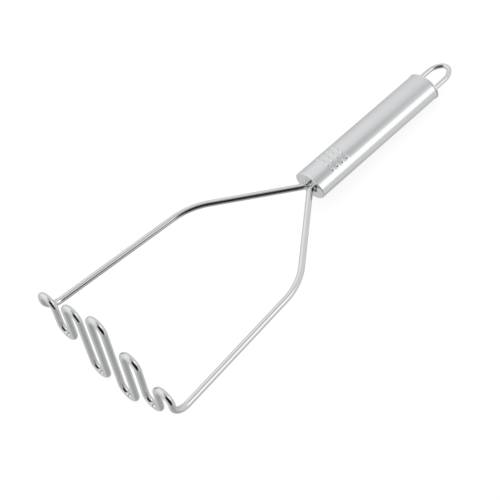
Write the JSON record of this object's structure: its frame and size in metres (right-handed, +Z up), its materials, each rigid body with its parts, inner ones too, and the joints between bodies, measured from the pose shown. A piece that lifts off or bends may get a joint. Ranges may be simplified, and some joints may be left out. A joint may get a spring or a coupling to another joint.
{
  "type": "wire potato masher",
  "caption": "Steel masher: flat zigzag wire head on two splayed arms, oval tube handle with raised thumb dots and a hanging loop.",
  "frame": {"origin": "centre of the tool's footprint box, on the surface that it lies on", "axes": "+X from the head to the hanging loop, +Y from arm to arm, +Z up from the surface, on the side of the taller turns"},
  "size_m": [0.2826, 0.1064, 0.0611],
  "materials": {
    "polished_wire": "polished stainless wire",
    "satin_steel": "satin stainless tube",
    "weld_metal": "as-welded, lightly polished"
  },
  "bodies": {
    "root": {"masher_wire": "polished_wire", "wire_weld": "weld_metal", "front_cap": "satin_steel", "handle_tube": "satin_steel", "rear_cap": "satin_steel", "hanging_loop": "polished_wire", "loop_welds": "weld_metal"}
  },
  "joints": []
}
